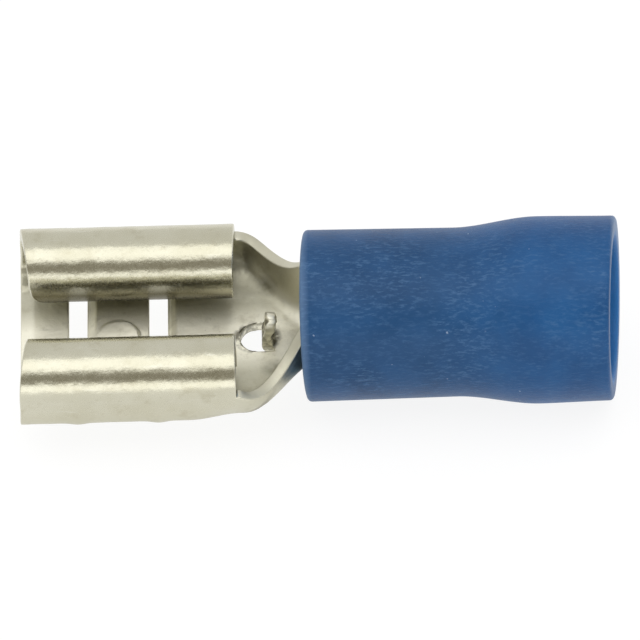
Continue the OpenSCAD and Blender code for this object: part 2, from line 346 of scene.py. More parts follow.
def bow(y):
    return BRIDGE_BOW * (1 + np.cos(math.pi * np.minimum(1, np.abs(y) / WINDOW_HALF))) / 2


def ramp(x, y, radius):
    """Rise of the locking dimple: it climbs along +X and ends in a steep half round."""
    away = np.hypot(x - DIMPLE_X, y)
    climb = np.clip((x - DIMPLE_X + DIMPLE_R) / (2 * DIMPLE_R), 0, 1)
    return DIMPLE_H * climb * ease((radius - away) / DIMPLE_EDGE + 0.5)


def lead_in(x, y, start):
    """Depth of the coined slope that begins at start; the one at the mouth is worn round."""
    depth = LEAD_D * np.clip(1 - (x - start) / LEAD_L, 0, 1) * (x >= start - 1e-6)
    if start == 0:
        depth = FRONT_LEAD_D * ease(1 - x / FRONT_LEAD_L)
    return depth * ease((WINDOW_HALF - np.abs(y)) / 0.1)


def grooves(x):
    """Depth of the V-shaped grooves in the barrel's bore."""
    pitch = (BARREL_END - BARREL_X) / (GROOVE_N + 1)
    nearest = BARREL_X + pitch * np.clip(np.round((x - BARREL_X) / pitch), 1, GROOVE_N)
    return GROOVE_D * np.clip(1 - np.abs(x - nearest) / (GROOVE_W / 2), 0, 1)


def wander(x, s, size, salt):
    """Smooth seeded noise over the flat strip, about -1 to 1."""
    return np.array([noise.noise((a / size, b / size, salt)) for a, b in zip(x.ravel(), s.ravel())]
                    ).reshape(x.shape)


def reliefs(x, s):
    """Heights by which the upper and the lower face of the strip leave their plain places."""
    on_bridge = (x > BRIDGE_X0 - 1e-6) & (x < BRIDGE_X1 + 1e-6) & (np.abs(s) <= WINDOW_HALF + 1e-6)
    rise = np.where(on_bridge, bow(s), 0)
    top = rise + np.where(on_bridge, ramp(x, s, DIMPLE_R), 0)
    bottom = rise + np.where(on_bridge, ramp(x, s, DIMPLE_R - STRIP_T / 4), 0)
    for start, here in ((0, x < BRIDGE_X0 - WINDOW_L), (BRIDGE_X0, on_bridge),
                        (BRIDGE_X1 + WINDOW_L, x > BRIDGE_X1)):
        top = top - np.where(here, lead_in(x, s, start), 0)
    top = top - np.where(x > BARREL_X, grooves(x), 0)

    length = np.abs(s)
    on_side = ease((length - FLOOR_HALF) / 0.4) * ease((SIDE_LEN + 0.5 - length) / 0.5)
    in_socket = 1 - ease((x - SOCKET_L + 0.4) / 1.2)
    ends = [BRIDGE_X0 - WINDOW_L / 2, BRIDGE_X1 + WINDOW_L / 2]
    bulge = sum(np.exp(-((x - end) / 0.3) ** 2) for end in ends)
    pull = SIDE_PULL * on_side * in_socket * (1 - np.minimum(bulge, 1))
    uneven = UNEVEN_COARSE * wander(x, s, 1.6, 3.1) + UNEVEN_FINE * wander(x, s, 0.5, 9.4)
    inward = uneven + 0.014
    quiet = ease((ROLL_END - length) / 0.3) * ease(BARREL_X + 1 - x)
    shift = pull + inward * quiet * np.where(length > FLOOR_HALF, 1, 0.4)
    return top + shift, bottom + shift


def strip_sheet():
    """The whole contact as one sheet, with its windows, lance hole and tongue."""
    sheet = Sheet()
    x, s = lay_out()
    place, normal = bent(x, s)
    top, bottom = reliefs(x, s)
    middle_row = len(half_rows) - 1
    roll_column = column_at(SOCKET_L)
    hole = (column_at(LANCE_ROUND_X), column_at(STOP_ROOT_X))
    windows = [(column_at(BRIDGE_X0 - WINDOW_L), column_at(BRIDGE_X0)),
               (column_at(BRIDGE_X1), column_at(BRIDGE_X1 + WINDOW_L))]
    window_row = int(np.argmin(np.abs(half_rows - WINDOW_HALF)))
    lance_row = int(np.argmin(np.abs(half_rows - LANCE_HALF)))
    stop_row = int(np.argmin(np.abs(half_rows - STOP_HALF)))

    def solid(c, r):
        """Whether the cell between columns c and c + 1, rows r and r + 1, is metal."""
        out = max(abs(r - middle_row), abs(r + 1 - middle_row))
        if out > ROW_EDGE and c >= roll_column:
            return False
        if out <= window_row and any(a <= c < b for a, b in windows):
            return False
        return not (out <= lance_row and hole[0] <= c < hole[1])

    ids = {}

    def point(c, r):
        if (c, r) not in ids:
            ids[c, r] = sheet.add(place[c, r], normal[c, r], top[c, r], bottom[c, r],
                                  (x[c, r], s[c, r], 0.0))
        return ids[c, r]

    for c in range(len(columns) - 1):
        for r in range(len(rows) - 1):
            if solid(c, r):
                sheet.cells.append((point(c, r), point(c + 1, r),
                                    point(c + 1, r + 1), point(c, r + 1)))
    add_tongue(sheet, point, hole[1], range(middle_row - stop_row, middle_row + stop_row + 1), s)
    return sheet


def add_tongue(sheet, point, root, tongue_rows, s):
    """The wire stop: the strip between the slits, bent past upright, twisted and torn uneven."""
    bend_z = STRIP_T + STOP_BEND
    bend_r = STOP_BEND + STRIP_T / 2
    cap_z = STRIP_T + STOP_H - STOP_HALF
    last_turn = math.pi / 2 + STOP_LEAN
    bend_top = bend_z - bend_r * math.cos(last_turn)
    bend_steps, rise_steps = 6, 20

    def rough(y, z, salt):
        return noise.noise((y * 3.2, z * 2.6, salt)) + 0.5 * noise.noise((y * 8, z * 7, salt))

    ids = {(0, r): point(root, r) for r in tongue_rows}
    for k in range(1, bend_steps + rise_steps + 1):
        for r in tongue_rows:
            y = s[root, r]
            turn = last_turn * min(1, k / bend_steps)
            share = max(0, k - bend_steps) / rise_steps
            ragged = 0.9 + 0.16 * noise.noise((y * 9, 0, 5))
            top_z = cap_z + math.sqrt(max(STOP_HALF ** 2 - y ** 2, 0)) * ragged
            reach = share * (top_z - bend_top) / math.sin(last_turn)
            px = STOP_ROOT_X - bend_r * math.sin(turn) - reach * math.cos(turn)
            pz = bend_z - bend_r * math.cos(turn) + reach * math.sin(turn)
            px += share * (STOP_TWIST * y / STOP_HALF + STOP_WANDER * rough(y, pz, 2.0))
            narrow = y * (1 - 0.1 * share + 0.12 * share * rough(0.0, pz, 7.0))
            normal = np.array([math.sin(turn), 0.0, math.cos(turn)])
            worn = min(1, 4 * share)
            top = worn * (STOP_TEAR * rough(y, pz, 11.0) - STOP_SWELL)
            bottom = worn * (STOP_TEAR * rough(y, pz, 17.0) + STOP_SWELL)
            ids[k, r] = sheet.add(np.array([px, narrow, pz]), normal, top, bottom,
                                  (STOP_ROOT_X - k * 0.06, y, 0.0))
    for k in range(bend_steps + rise_steps):
        for r in list(tongue_rows)[:-1]:
            sheet.cells.append((ids[k + 1, r], ids[k, r], ids[k, r + 1], ids[k + 1, r + 1]))


def thicken(sheet, thickness, rim_r, rim_steps=3):
    """Closed mesh of a sheet: two faces, joined by rims with rounded corners."""
    place, normal = np.array(sheet.place), np.array(sheet.normal)
    top, bottom = np.array(sheet.top), np.array(sheet.bottom)
    half = thickness / 2
    count = len(place)
    out = {}
    rim_edges = sheet.edges_out()
    for a, b in rim_edges:
        way = np.cross(place[b] - place[a], normal[a] + normal[b])
        way /= np.linalg.norm(way)
        for end in (a, b):
            out.setdefault(end, []).append(way)
    points = np.concatenate([place + normal * (half + top)[:, None],
                             place + normal * (bottom - half)[:, None]])
    flat = [tuple(f) for f in sheet.flat] * 2
    edge = [0.0] * (2 * count)
    extra, ring = [], {}
    for i, ways in out.items():
        way = sum(ways) / (1 + float(np.dot(ways[0], ways[-1]))) if len(ways) > 1 else ways[0]
        n = normal[i]
        height = half + top[i]
        depth = bottom[i] - half
        r = min(rim_r, (height - depth) * 0.45)
        points[i] = place[i] + n * height - way * r
        points[count + i] = place[i] + n * depth - way * r
        chain = [i]
        for t in [math.pi / 2 * k / rim_steps for k in range(1, rim_steps + 1)]:
            extra.append(place[i] + n * (height - r + r * math.cos(t)) + way * r * (math.sin(t) - 1))
            chain.append(2 * count + len(extra) - 1)
        for t in [math.pi / 2 * (1 - k / rim_steps) for k in range(rim_steps)]:
            extra.append(place[i] + n * (depth + r - r * math.cos(t)) + way * r * (math.sin(t) - 1))
            chain.append(2 * count + len(extra) - 1)
        flat += [tuple(sheet.flat[i])] * (2 * rim_steps)
        edge += [1.0] * (2 * rim_steps)
        ring[i] = chain + [count + i]
    faces = list(sheet.cells)
    faces += [tuple(count + i for i in reversed(cell)) for cell in sheet.cells]
    for a, b in rim_edges:
        for k in range(2 * rim_steps + 1):
            faces.append((ring[a][k], ring[a][k + 1], ring[b][k + 1], ring[b][k]))
    points = np.concatenate([points, np.array(extra)])
    return points, faces, flat, edge


def new_piece(name, points, faces):
    mesh = bpy.data.meshes.new(name)
    mesh.from_pydata([tuple(p) for p in points], [], faces)
    mesh.validate()
    mesh.shade_smooth()
    piece = bpy.data.objects.new(name, mesh)
    bpy.context.scene.collection.objects.link(piece)
    return piece


def make_contact():
    points, faces, flat, edge = thicken(strip_sheet(), STRIP_T, RIM_R)
    piece = new_piece("contact", (points + ORIGIN) * MM, faces)
    layout = piece.data.attributes.new("strip", "FLOAT_VECTOR", "POINT")
    layout.data.foreach_set("vector", np.array(flat, dtype=np.float32).ravel())
    cut = piece.data.attributes.new("cut_edge", "FLOAT", "POINT")
    cut.data.foreach_set("value", np.array(edge, dtype=np.float32))
    return piece


# ------------------------------------------------------------------ sleeve

def sleeve_r(x):
    flare_end = FLARE_FROM + FLARE_L
    body = mix(FRONT_R, WAIST_R, np.minimum(1, x / FLARE_FROM))
    wide = mix(body, FLARE_R, ease((x - FLARE_FROM) / FLARE_L))
    return wide - (FLARE_R - REAR_R) * ease((x - flare_end) / (SLEEVE_L - flare_end))


def neck_reach(u):
    """Farthest that the neck's outside at u lies from the barrel's axis."""
    s = np.linspace(0, float(strip_half(u)), 40)
    place, normal = bent(np.full_like(s, SOCKET_L + NECK_L * u), s)
    skin = place - normal * STRIP_T / 2
    return float(np.max(np.hypot(skin[:, 1], skin[:, 2] - BARREL_R)))


def sleeve_profile():
    """Closed outline of the sleeve's wall: distance from its front, and radius."""
    def arc(x, r, start, end, steps=6):
        return [(x + SLEEVE_RIM * math.cos(mix(start, end, i / steps)),
                 r + SLEEVE_RIM * math.sin(mix(start, end, i / steps))) for i in range(steps + 1)]

    def line(a, b):
        count = max(1, round(math.dist(a, b) / PROFILE_STEP))
        return [(mix(a[0], b[0], i / count), mix(a[1], b[1], i / count)) for i in range(1, count)]

    shoulder_x = OVER_NECK + BARREL_END - BARREL_X + BARREL_FIT
    funnel_x = shoulder_x + THROAT_L
    bore_r = BARREL_R + BARREL_FIT
    entry_r = FLARE_R - SLEEVE_WALL
    rear_x = SLEEVE_L - SLEEVE_RIM
    outside = [(x, float(sleeve_r(x)))
               for x in np.arange(SLEEVE_RIM + PROFILE_STEP, rear_x - PROFILE_STEP / 2, PROFILE_STEP)]
    mouth = []
    for i in range(12, -1, -1):
        x = OVER_NECK * i / 12
        mouth.append((x, max(bore_r, neck_reach(1 - (OVER_NECK - x) / NECK_L) + MOUTH_FIT)))
    mouth[-1] = (SLEEVE_RIM / 2, mouth[-1][1])
    corners = [(SLEEVE_L - SLEEVE_RIM, entry_r), (funnel_x + FUNNEL_L, entry_r),
               (funnel_x, THROAT_R), (shoulder_x, THROAT_R), (shoulder_x, bore_r), mouth[0]]
    inside = []
    for a, b in zip(corners, corners[1:]):
        inside += [a] + line(a, b)
    front = arc(SLEEVE_RIM, FRONT_R - SLEEVE_RIM, math.pi, math.pi / 2)
    rear = arc(rear_x, REAR_R - SLEEVE_RIM, math.pi / 2, 0)
    bead = arc(SLEEVE_L - SLEEVE_RIM, entry_r + SLEEVE_RIM, 0, -math.pi / 2)
    return front + outside + rear + bead[:-1] + inside + mouth + [(0, mouth[-1][1] + SLEEVE_RIM / 2)]


def turned_piece_nodes(material):
    """Geometry Nodes tree that turns a profile curve round an axis along X."""
    tree = bpy.data.node_groups.new("Turned sleeve", "GeometryNodeTree")
    face = tree.interface
    face.new_socket("Profile", in_out="INPUT", socket_type="NodeSocketGeometry")
    for name, kind in (("Segments", "NodeSocketInt"), ("Rings", "NodeSocketInt"),
                       ("Axis Height", "NodeSocketFloat"), ("Start", "NodeSocketFloat"),
                       ("Length", "NodeSocketFloat"), ("Skewed Part", "NodeSocketFloat"),
                       ("Front Skew Y", "NodeSocketFloat"), ("Front Skew Z", "NodeSocketFloat"),
                       ("Rear Skew Y", "NodeSocketFloat"), ("Rear Skew Z", "NodeSocketFloat")):
        face.new_socket(name, in_out="INPUT", socket_type=kind)
    face.new_socket("Sleeve", in_out="OUTPUT", socket_type="NodeSocketGeometry")
    nodes, links = tree.nodes, tree.links
    source, result = nodes.new("NodeGroupInput"), nodes.new("NodeGroupOutput")

    def node(kind, **settings):
        made = nodes.new(kind)
        for key, value in settings.items():
            setattr(made, key, value)
        return made

    def math_node(operation, a, b=None):
        made = node("ShaderNodeMath", operation=operation)
        for socket, value in zip(made.inputs, (a, b)):
            if hasattr(value, "links"):
                links.new(value, socket)
            elif value is not None:
                socket.default_value = value
        return made.outputs[0]

    grid = node("GeometryNodeMeshGrid")
    grid.inputs["Size X"].default_value = 1
    grid.inputs["Size Y"].default_value = 1
    links.new(source.outputs["Rings"], grid.inputs["Vertices X"])
    links.new(source.outputs["Segments"], grid.inputs["Vertices Y"])
    spot = node("ShaderNodeSeparateXYZ")
    links.new(node("GeometryNodeInputPosition").outputs[0], spot.inputs[0])
    sample = node("GeometryNodeSampleCurve", mode="FACTOR", data_type="FLOAT_VECTOR")
    links.new(source.outputs["Profile"], sample.inputs["Curves"])
    links.new(math_node("ADD", spot.outputs["X"], 0.5), sample.inputs["Factor"])
    outline = node("ShaderNodeSeparateXYZ")
    links.new(sample.outputs["Position"], outline.inputs[0])
    angle = math_node("MULTIPLY", math_node("ADD", spot.outputs["Y"], 0.5), 2 * math.pi)
    y = math_node("MULTIPLY", outline.outputs["Z"], math_node("SINE", angle))
    rise = math_node("MULTIPLY", outline.outputs["Z"], math_node("COSINE", angle))
    z = math_node("ADD", rise, source.outputs["Axis Height"])

    along = math_node("SUBTRACT", outline.outputs["X"], source.outputs["Start"])
    from_rear = math_node("SUBTRACT", source.outputs["Length"], along)
    x = outline.outputs["X"]
    for end, distance in (("Front", along), ("Rear", from_rear)):
        share = node("ShaderNodeMapRange", interpolation_type="SMOOTHSTEP")
        share.inputs["To Min"].default_value = 1
        share.inputs["To Max"].default_value = 0
        links.new(distance, share.inputs["Value"])
        links.new(source.outputs["Skewed Part"], share.inputs["From Max"])
        skew = math_node("ADD", math_node("MULTIPLY", y, source.outputs[end + " Skew Y"]),
                         math_node("MULTIPLY", rise, source.outputs[end + " Skew Z"]))
        x = math_node("ADD", x, math_node("MULTIPLY", skew, share.outputs["Result"]))
    joined = node("ShaderNodeCombineXYZ")
    for value, socket in zip((x, y, z), joined.inputs):
        links.new(value, socket)
    move = node("GeometryNodeSetPosition")
    links.new(grid.outputs["Mesh"], move.inputs["Geometry"])
    links.new(joined.outputs[0], move.inputs["Position"])
    weld = node("GeometryNodeMergeByDistance")
    weld.inputs["Distance"].default_value = WELD * MM
    links.new(move.outputs[0], weld.inputs[0])
    real = node("GeometryNodeRealizeInstances")
    links.new(weld.outputs[0], real.inputs[0])
    finish = node("GeometryNodeSetMaterial")
    finish.inputs["Material"].default_value = material
    links.new(real.outputs[0], finish.inputs["Geometry"])
    links.new(finish.outputs[0], result.inputs[0])
    return tree


def socket_id(tree, name):
    return next(item.identifier for item in tree.interface.items_tree
                if item.name == name and item.in_out == "INPUT")


def make_sleeve(material):
    outline = sleeve_profile()
    curve = bpy.data.curves.new("sleeve_profile", "CURVE")
    curve.dimensions = "3D"
    spline = curve.splines.new("POLY")
    spline.points.add(len(outline) - 1)
    for point, (x, r) in zip(spline.points, outline):
        held_back = REAR_SKEW * max(0, x / SLEEVE_L * 2 - 1)
        point.co = ((SLEEVE_LOW[0] + x - held_back) * MM, 0, r * MM, 1)
    spline.use_cyclic_u = True
    profile = bpy.data.objects.new("sleeve_profile", curve)
    bpy.context.scene.collection.objects.link(profile)
    tree = turned_piece_nodes(material)
    modifier = profile.modifiers.new("turned", "NODES")
    modifier.node_group = tree
    sizes = {"Segments": 241, "Rings": 341, "Axis Height": AXIS_Z * MM,
             "Start": SLEEVE_LOW[0] * MM, "Length": SLEEVE_L * MM, "Skewed Part": SKEWED_PART * MM,
             "Front Skew Y": FRONT_CUT[0], "Front Skew Z": FRONT_CUT[1],
             "Rear Skew Y": REAR_CUT[0], "Rear Skew Z": REAR_CUT[1]}
    for name, value in sizes.items():
        modifier[socket_id(tree, name)] = value
    evaluated = profile.evaluated_get(bpy.context.evaluated_depsgraph_get())
    mesh = bpy.data.meshes.new_from_object(evaluated)
    bpy.data.objects.remove(profile)
    piece = bpy.data.objects.new("sleeve", mesh)
    bpy.context.scene.collection.objects.link(piece)
    mesh.shade_smooth()
    return piece


# --------------------------------------------------------------- materials

class Shader:
    """Short calls for building a node tree."""

    def __init__(self, tree):
        self.tree = tree

    def node(self, kind, inputs=None, **settings):
        made = self.tree.nodes.new(kind)
        for key, value in settings.items():
            setattr(made, key, value)
        for key, value in (inputs or {}).items():
            socket = made.inputs[key]
            if isinstance(value, bpy.types.NodeSocket):
                self.tree.links.new(value, socket)
            else:
                socket.default_value = value
        return made

    def texture(self, vector, scale, detail, rough):
        made = self.node("ShaderNodeTexNoise", {
            "Vector": vector, "Scale": scale, "Detail": detail, "Roughness": rough})
        return made.outputs["Fac"]

    def spread(self, value, low, high, to_low=0.0, to_high=1.0):
        made = self.node("ShaderNodeMapRange", {
            "Value": value, "From Min": low, "From Max": high,
            "To Min": to_low, "To Max": to_high})
        return made.outputs["Result"]

    def blend(self, share, a, b, mode="MIX"):
        made = self.node("ShaderNodeMix", data_type="RGBA", blend_type=mode)
        for socket, value in ((made.inputs[0], share), (made.inputs[6], a), (made.inputs[7], b)):
            if isinstance(value, bpy.types.NodeSocket):
                self.tree.links.new(value, socket)
            else:
                socket.default_value = value
        return made.outputs[2]

    def math(self, operation, a, b):
        return self.node("ShaderNodeMath", {0: a, 1: b}, operation=operation).outputs[0]


    def near(self, strip, x, s, reach_x, reach_s, soft=0.5):
        """1 inside an oval on the flat strip, fading to 0 at its rim."""
        moved = self.node("ShaderNodeVectorMath", {0: strip, 1: (x, s, 0)}, operation="SUBTRACT")
        scaled = self.node("ShaderNodeVectorMath", {
            0: moved.outputs[0], 1: (1 / reach_x, 1 / reach_s, 0)}, operation="MULTIPLY")
        far = self.node("ShaderNodeVectorMath", {0: scaled.outputs[0]}, operation="LENGTH")
        return self.spread(far.outputs["Value"], 1.0, 1.0 - soft)


def new_material(name):
    material = bpy.data.materials.new(name)
    material.use_nodes = True
    material.node_tree.nodes.clear()
    return material, Shader(material.node_tree)


def stretched(shader, scale):
    """Object coordinates in millimetres, stretched by scale along each axis."""
    source = shader.node("ShaderNodeTexCoord").outputs["Object"]
    return shader.node("ShaderNodeMapping", {"Vector": source, "Scale": scale}).outputs[0]


def patches_group():
    """Shared mask: soft patches, flecks or speckle, depending on scale and limits."""
    tree = bpy.data.node_groups.new("Patches", "ShaderNodeTree")
    for name, kind in (("Vector", "NodeSocketVector"), ("Scale", "NodeSocketFloat"),
                       ("Detail", "NodeSocketFloat"), ("Roughness", "NodeSocketFloat"),
                       ("From", "NodeSocketFloat"), ("To", "NodeSocketFloat"),
                       ("Amount", "NodeSocketFloat")):
        tree.interface.new_socket(name, in_out="INPUT", socket_type=kind)
    for name in ("Mask", "Height"):
        tree.interface.new_socket(name, in_out="OUTPUT", socket_type="NodeSocketFloat")
    shader = Shader(tree)
    source = shader.node("NodeGroupInput").outputs
    height = shader.texture(source["Vector"], source["Scale"], source["Detail"], source["Roughness"])
    mask = shader.spread(height, source["From"], source["To"])
    amount = shader.math("MULTIPLY", mask, source["Amount"])
    shader.node("NodeGroupOutput", {"Mask": amount, "Height": height})
    return tree


def patches(shader, group, vector, scale, detail, rough, low, high, amount=1.0):
    """Places the shared mask: its amount where the noise passes from low to high, and its height."""
    made = shader.node("ShaderNodeGroup", node_tree=group)
    for name, value in (("Vector", vector), ("Scale", scale), ("Detail", detail),
                        ("Roughness", rough), ("From", low), ("To", high), ("Amount", amount)):
        if isinstance(value, bpy.types.NodeSocket):
            shader.tree.links.new(value, made.inputs[name])
        else:
            made.inputs[name].default_value = value
    return made.outputs["Mask"], made.outputs["Height"]


TIN_PALE = (0.61, 0.592, 0.475, 1)
TIN_GREY = (0.55, 0.528, 0.405, 1)
# Painted sheen: the light tone along the middle of the strip
TIN_MIDDLE_SHEEN = (1.0, 0.97, 0.82, 1)
TIN_STAINED = (0.42, 0.385, 0.27, 1)
TIN_SPECK = (0.30, 0.275, 0.19, 1)
TIN_SCUFFED = (0.72, 0.71, 0.62, 1)
# Painted shade and painted dark reflection inside the rolls, towards their free edges
TIN_ROLL_SHADE = (0.085, 0.075, 0.038, 1)
# Painted shade colour for the dark spots in the neck
TIN_NECK_SHADE = (0.13, 0.12, 0.075, 1)
TIN_TORN = (0.09, 0.08, 0.05, 1)
# Lighter cut edges: bare cut metal, and partly a painted highlight
TIN_CUT_AND_GLINT = (0.70, 0.68, 0.56, 1)
FLOOR_ROUGH, ROLL_ROUGH, NECK_ROUGHER = 0.48, 0.25, 0.28
# Painted shade and painted dark reflections in the neck: x, s, reach along x, reach along s, amount
NECK_SHADE_SPOTS = ((SOCKET_L + 0.35, 3.7, 0.75, 0.95, 0.75), (SOCKET_L + 1.15, 2.25, 0.5, 0.55, 0.6),
              (SOCKET_L + 1.3, -1.4, 0.55, 0.5, 0.6), (SOCKET_L + 0.5, -3.2, 0.8, 0.5, 0.75),
              (SOCKET_L + 2.1, 0.0, 0.75, 1.4, 0.45))


def tin_tone(shader, group, strip, length, edge, spot, drawn):
    """Colour of the tin with its painted shade, painted sheen and partly painted edge highlight, and
    the heights of its grain, drawing lines and dents.
    """
    cloud, _ = patches(shader, group, spot, scale=0.7, detail=4, rough=0.5, low=0.35, high=0.7)
    stain, _ = patches(shader, group, spot, scale=1.8, detail=5, rough=0.6, low=0.56, high=0.72,
                       amount=0.4)
    speck, grain = patches(shader, group, spot, scale=9, detail=5, rough=0.65, low=0.62, high=0.74,
                           amount=0.3)
    scuff, lines = patches(shader, group, drawn, scale=3.2, detail=4, rough=0.6, low=0.62, high=0.7,
                           amount=0.3)
    tear, dents = patches(shader, group, spot, scale=3.4, detail=3, rough=0.5, low=0.42, high=0.56,
                          amount=0.8)

    tone = shader.blend(cloud, TIN_PALE, TIN_GREY)
    # Painted sheen: within 1.5 mm of the centre line the tin turns lighter, fully so within 0.5 mm
    tone = shader.blend(shader.spread(length, 1.5, 0.5), tone, TIN_MIDDLE_SHEEN)
    tone = shader.blend(stain, tone, TIN_STAINED)
    tone = shader.blend(speck, tone, TIN_SPECK)
    tone = shader.blend(scuff, tone, TIN_SCUFFED)
    # Painted shade: the rolls turn dark olive over the last millimetre before their free edges, with
    # the cut edges left out
    roll_shade = shader.spread(length, ROLL_END - 1.0, ROLL_END - 0.5, 0.0, 0.92)
    roll_shade = shader.math("MULTIPLY", roll_shade, shader.math("SUBTRACT", 1.0, edge))
    tone = shader.blend(roll_shade, tone, TIN_ROLL_SHADE)
    # Painted shade: soft dark mottled spots in the neck, beside the rolls' ends, at the folds and
    # behind the wire stop
    for x, s, reach_x, reach_s, amount in NECK_SHADE_SPOTS:
        neck_shade = shader.near(strip, x, s, reach_x, reach_s, soft=0.8)
        mottled = shader.spread(dents, 0.2, 0.55, 0.4 * amount, amount)
        tone = shader.blend(shader.math("MULTIPLY", neck_shade, mottled), tone, TIN_NECK_SHADE)
    torn = shader.near(strip, STOP_ROOT_X - 0.6, 0, 0.9, 0.74, soft=0.2)
    tone = shader.blend(shader.math("MULTIPLY", torn, tear), tone, TIN_TORN)
    # Cut edges lighter: partly the bare cut metal, partly a painted highlight along the rims
    tone = shader.blend(shader.math("MULTIPLY", edge, 0.4), tone, TIN_CUT_AND_GLINT)
    return tone, grain, lines, dents


def tin_finish(group):
    """Satin tin over brass: burnished rolls, duller floor, stains, scuffs and small dents, with
    painted shade in the rolls and the neck, a painted sheen along the middle and lighter cut edges,
    partly a painted highlight.
    """
    material, shader = new_material("tinned brass")
    spot = stretched(shader, (1000, 1000, 1000))
    drawn = stretched(shader, (180, 1000, 1000))
    strip = shader.node("ShaderNodeAttribute", attribute_name="strip").outputs["Vector"]
    split = shader.node("ShaderNodeSeparateXYZ", {0: strip}).outputs
    length = shader.math("ABSOLUTE", split["Y"], 0.0)
    edge = shader.node("ShaderNodeAttribute", attribute_name="cut_edge").outputs["Fac"]
    tone, grain, lines, dents = tin_tone(shader, group, strip, length, edge, spot, drawn)

    on_roll = shader.spread(length, FLOOR_HALF, BEND_END + 0.4)
    plain = shader.spread(on_roll, 0.0, 1.0, FLOOR_ROUGH, ROLL_ROUGH)
    neck = shader.spread(split["X"], SOCKET_L - 0.1, SOCKET_L + 0.4, 0.0, NECK_ROUGHER)
    neck = shader.math("MULTIPLY", neck, on_roll)
    rough = shader.math("ADD", plain, shader.spread(grain, 0.3, 0.7, -0.04, 0.05))
    rough = shader.math("ADD", rough, neck)
    height = shader.math("ADD", shader.math("MULTIPLY", grain, 0.14), dents)
    height = shader.math("ADD", height, shader.math("MULTIPLY", lines, 0.4))
    bump = shader.node("ShaderNodeBump", {
        "Height": height, "Strength": 0.55, "Distance": 0.022 * MM}).outputs[0]
    body = shader.node("ShaderNodeBsdfPrincipled", {
        "Base Color": tone, "Metallic": 1.0, "Roughness": rough, "Normal": bump})
    shader.node("ShaderNodeOutputMaterial", {"Surface": body.outputs[0]})
    return material


BLUE_FRONT = ((0.004, 0.052, 0.155, 1), (0.011, 0.072, 0.200, 1))
BLUE_REAR = ((0.003, 0.064, 0.205, 1), (0.008, 0.089, 0.262, 1))
BLUE_INSIDE = (0.015, 0.15, 0.42, 1)
BLUE_FLECK = (0.085, 0.19, 0.36, 1)
BLUE_RIM = (0.26, 0.40, 0.60, 1)
PALE_DUST = (0.42, 0.52, 0.66, 1)
FLECK_SLANT = math.radians(14)


def vinyl_finish(group):
    """Matte blue vinyl: pale fibrous flecks along the sleeve, fine dust and paler cut ends."""
    material, shader = new_material("blue vinyl")
    source = shader.node("ShaderNodeTexCoord").outputs["Object"]
    slanted = shader.node("ShaderNodeMapping", {
        "Vector": source, "Rotation": (0, 0, FLECK_SLANT), "Scale": (330, 1000, 1000)}).outputs[0]
    plain = stretched(shader, (1000, 1000, 1000))
    x = shader.node("ShaderNodeSeparateXYZ", {0: source}).outputs["X"]

    cloud, _ = patches(shader, group, plain, scale=0.6, detail=3, rough=0.5, low=0.35, high=0.65)
    zone, _ = patches(shader, group, plain, scale=0.35, detail=2, rough=0.5, low=0.40, high=0.56,
                      amount=0.6)
    fleck, fibres = patches(shader, group, slanted, scale=10, detail=5, rough=0.7, low=0.50,
                            high=0.66, amount=0.5)
    dust, _ = patches(shader, group, plain, scale=4, detail=1, rough=0.4, low=0.79, high=0.815,
                      amount=0.5)
    toward_rear = shader.spread(x, (SLEEVE_LOW[0] + 4.5) * MM, (SLEEVE_HIGH[0] - 3) * MM)
    base = shader.blend(toward_rear, shader.blend(cloud, *BLUE_FRONT), shader.blend(cloud, *BLUE_REAR))
    fleck = shader.math("MULTIPLY", fleck, shader.math("ADD", zone, 0.4))
    colour = shader.blend(fleck, base, BLUE_FLECK)
    colour = shader.blend(dust, colour, PALE_DUST)
    rear = shader.spread(x, (SLEEVE_HIGH[0] - 0.34) * MM, (SLEEVE_HIGH[0] - 0.1) * MM, 0.0, 0.5)
    front = shader.spread(x, (SLEEVE_LOW[0] + 0.16) * MM, (SLEEVE_LOW[0] - 0.1) * MM, 0.0, 0.3)
    colour = shader.blend(shader.math("MAXIMUM", rear, front), colour, BLUE_RIM)
    from_axis = shader.node("ShaderNodeVectorMath", {
        0: source, 1: (0, 0, AXIS_Z * MM)}, operation="SUBTRACT").outputs[0]
    across = shader.node("ShaderNodeVectorMath", {0: from_axis, 1: (0, 1, 1)}, operation="MULTIPLY")
    radius = shader.node("ShaderNodeVectorMath", {0: across.outputs[0]}, operation="LENGTH")
    inside = shader.spread(radius.outputs["Value"], (FLARE_R - 0.5) * MM, (FLARE_R - 0.7) * MM)
    colour = shader.blend(inside, colour, BLUE_INSIDE)

    rough = shader.spread(fibres, 0.3, 0.7, 0.36, 0.5)
    bump = shader.node("ShaderNodeBump", {
        "Height": fibres, "Strength": 0.6, "Distance": 0.03 * MM}).outputs[0]
    body = shader.node("ShaderNodeBsdfPrincipled", {
        "Base Color": colour, "Roughness": rough, "Specular IOR Level": 0.3, "Normal": bump})
    shader.node("ShaderNodeOutputMaterial", {"Surface": body.outputs[0]})
    return material


FLOOR_ALBEDO = 0.8
FLOOR_SHADED = 0.17
FLOOR_GLOW = 0.87


